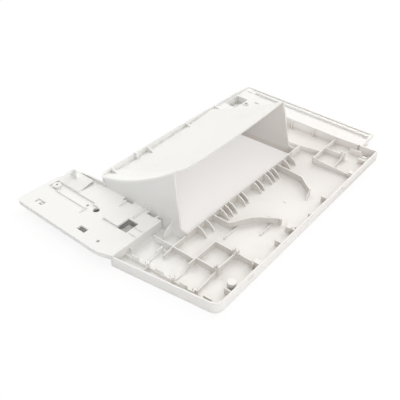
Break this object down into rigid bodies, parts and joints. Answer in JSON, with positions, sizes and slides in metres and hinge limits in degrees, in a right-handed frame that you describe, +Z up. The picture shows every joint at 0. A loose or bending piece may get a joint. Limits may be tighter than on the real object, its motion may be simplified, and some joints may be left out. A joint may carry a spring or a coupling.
{
  "type": "printer cover plate",
  "caption": "White moulded top cover of an office printer, outer face down, with the raised hood of its paper output bin and a ribbed inside.",
  "frame": {"origin": "centre of the bounding box's bottom, on the outer face that the cover lies on", "axes": "+X towards the printer's rear, +Y along the cover's long side away from the control panel, +Z up through the ribbed inside"},
  "size_m": [0.2924, 0.4296, 0.077],
  "materials": {
    "white_plastic": "fine matt texture"
  },
  "bodies": {
    "root": {"cover_plate": "white_plastic"}
  },
  "joints": []
}
